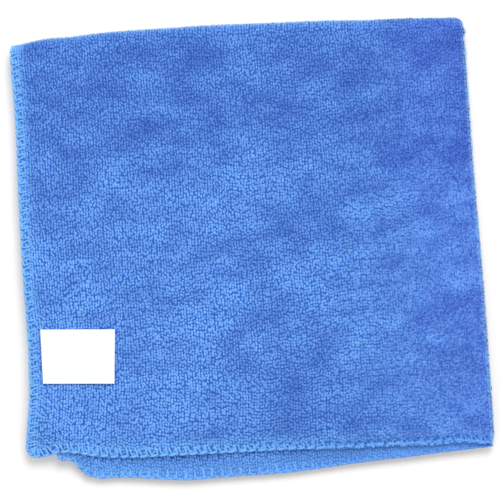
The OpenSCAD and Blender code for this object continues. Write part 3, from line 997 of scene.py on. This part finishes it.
# The label: a short length of white satin-woven tape, hot-cut, caught by one end in the left
# edging so that the other three sides are free.
label_low, label_high = (np.array(p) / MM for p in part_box("label"))
LABEL_DROOP = 1.63
LABEL_SKEW = 1.5
LABEL_STEPS = (34, 24)
LABEL_THICK = 0.3
LABEL_LIFT = 0.25
LABEL_CURL = 0.35
LABEL_WAVE, LABEL_WAVE_LONG = 0.18, 4.2
bpy.ops.mesh.primitive_grid_add(
    x_subdivisions=LABEL_STEPS[0], y_subdivisions=LABEL_STEPS[1], size=1.0)
label = bpy.context.object
label.name = "label_tape"
bpy.ops.object.mode_set(mode="EDIT")
bpy.ops.mesh.select_all(action="SELECT")
bpy.ops.mesh.extrude_region_move(TRANSFORM_OT_translate={"value": (0.0, 0.0, 1.0)})
bpy.ops.object.mode_set(mode="OBJECT")
flat = np.array([v.co for v in label.data.vertices])
out_share, up_share = flat[:, 0] + 0.5, flat[:, 1] + 0.5
label_long = label_high[0] - label_low[0]
label_wide = label_high[1] - label_low[1] - LABEL_DROOP
label_x = label_low[0] + (label_long - LABEL_SKEW * (1.0 - up_share)) * out_share
label_y = label_low[1] + LABEL_DROOP * (1.0 - out_share) + label_wide * up_share
label_z = top_high[2] + LABEL_LIFT + LABEL_CURL * out_share ** 2
label_z += LABEL_WAVE * np.sin(label_x / LABEL_WAVE_LONG) * out_share
label_z += LABEL_THICK * (flat[:, 2] > 0.5)
label.data.vertices.foreach_set("co", (np.column_stack([label_x, label_y, label_z]) * MM).ravel())
label.data.update()
bpy.ops.object.mode_set(mode="EDIT")
bpy.ops.mesh.select_all(action="SELECT")
bpy.ops.mesh.normals_make_consistent(inside=False)
bpy.ops.object.mode_set(mode="OBJECT")
bpy.ops.object.shade_smooth_by_angle(angle=SMOOTH_UNDER)
label.select_set(False)


# White polyester satin tape: smooth, slightly bright, with a cross-rib from the weft. The real rib
# is too fine to show, so it is drawn 0.9 mm wide. A wave's bands lie 0.314 / Scale apart.
def label_tape():
    material, tree, shader = new_finish("woven_satin_tape", specular=0.4)
    rib_wide, band = 0.9 * MM, 0.314
    place = add_node(tree, "ShaderNodeTexCoord").outputs["Object"]
    weft = add_node(tree, "ShaderNodeTexWave", {"bands_direction": "X"}, {
        "Vector": place, "Scale": band / rib_wide, "Distortion": 0.6}).outputs["Fac"]
    tone = add_node(tree, "ShaderNodeMix", {"data_type": "RGBA"}, {
        "Factor": weft, "A": linear("#F3F5F7"), "B": linear("#FAFBFC")})
    surface(shader, tone.outputs["Result"], weft, depth=0.03, smooth=0.4, rough=0.55)
    return material


label.data.materials.append(label_tape())
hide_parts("label")
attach(label, "label")

# The floor, light and camera: a white sweep below, a broad soft lamp above and to the upper right,
# and a long lens straight down, turned a little so that the cloth lies askew as in the picture.
# The floor glows a little to the camera, so that it is white where no shadow falls.
FLOOR_WIDE = 6.0
FLOOR_Z = -0.0003
FLOOR_GLOW = 0.21
bpy.ops.mesh.primitive_plane_add(size=FLOOR_WIDE, location=(0.0, 0.0, FLOOR_Z))
floor = bpy.context.object
floor.name = "floor"
floor_paper, tree, shader = new_finish("white_paper_floor", specular=0.0)
shader.inputs["Base Color"].default_value = linear("#ECE8E3")
shader.inputs["Roughness"].default_value = 0.95
path = add_node(tree, "ShaderNodeLightPath")
seen = add_node(tree, "ShaderNodeMath", {"operation": "MULTIPLY"}, {
    0: path.outputs["Is Camera Ray"], 1: FLOOR_GLOW})
glow = add_node(tree, "ShaderNodeEmission", inputs={"Strength": seen.outputs[0]})
both = add_node(tree, "ShaderNodeAddShader", inputs={0: shader.outputs[0], 1: glow.outputs[0]})
tree.links.new(both.outputs[0], tree.nodes["Material Output"].inputs["Surface"])
floor.data.materials.append(floor_paper)
floor.select_set(False)

SKY_STRENGTH = 0.6
world = bpy.data.worlds.new("studio")
bpy.context.scene.world = world
world.use_nodes = True
sky = world.node_tree.nodes["Background"]
sky.inputs["Color"].default_value = (1.0, 1.0, 1.0, 1.0)
sky.inputs["Strength"].default_value = SKY_STRENGTH

LAMP_AT = (0.2, 0.8, 1.3)
LAMP_WIDE = 0.9
LAMP_WATTS = 15.5
bpy.ops.object.light_add(type="AREA", location=LAMP_AT)
lamp = bpy.context.object
lamp.name = "soft_lamp"
lamp.data.shape = "DISK"
lamp.data.size = LAMP_WIDE
lamp.data.energy = LAMP_WATTS
lamp.rotation_euler = Vector([-v for v in LAMP_AT]).to_track_quat("-Z", "Y").to_euler()
lamp.select_set(False)

MM_PER_PIXEL = 0.45
PICTURE_PIXELS = 500
CLOTH_TURN = 3.0
PICTURE_MIDDLE = (-0.95, 0.4)
CAMERA_HIGH = 1.6
STACK_HIGH = 0.01
lens = bpy.data.cameras.new("camera")
lens.sensor_width = 36.0
lens.lens = lens.sensor_width * (CAMERA_HIGH - STACK_HIGH) / (MM_PER_PIXEL * PICTURE_PIXELS * MM)
lens.clip_end = 20.0
camera = bpy.data.objects.new("camera", lens)
bpy.context.collection.objects.link(camera)
camera.location = (PICTURE_MIDDLE[0] * MM, PICTURE_MIDDLE[1] * MM, CAMERA_HIGH)
camera.rotation_euler = (0.0, 0.0, -math.radians(CLOTH_TURN))
bpy.context.scene.camera = camera
bpy.context.scene.view_settings.view_transform = "Standard"
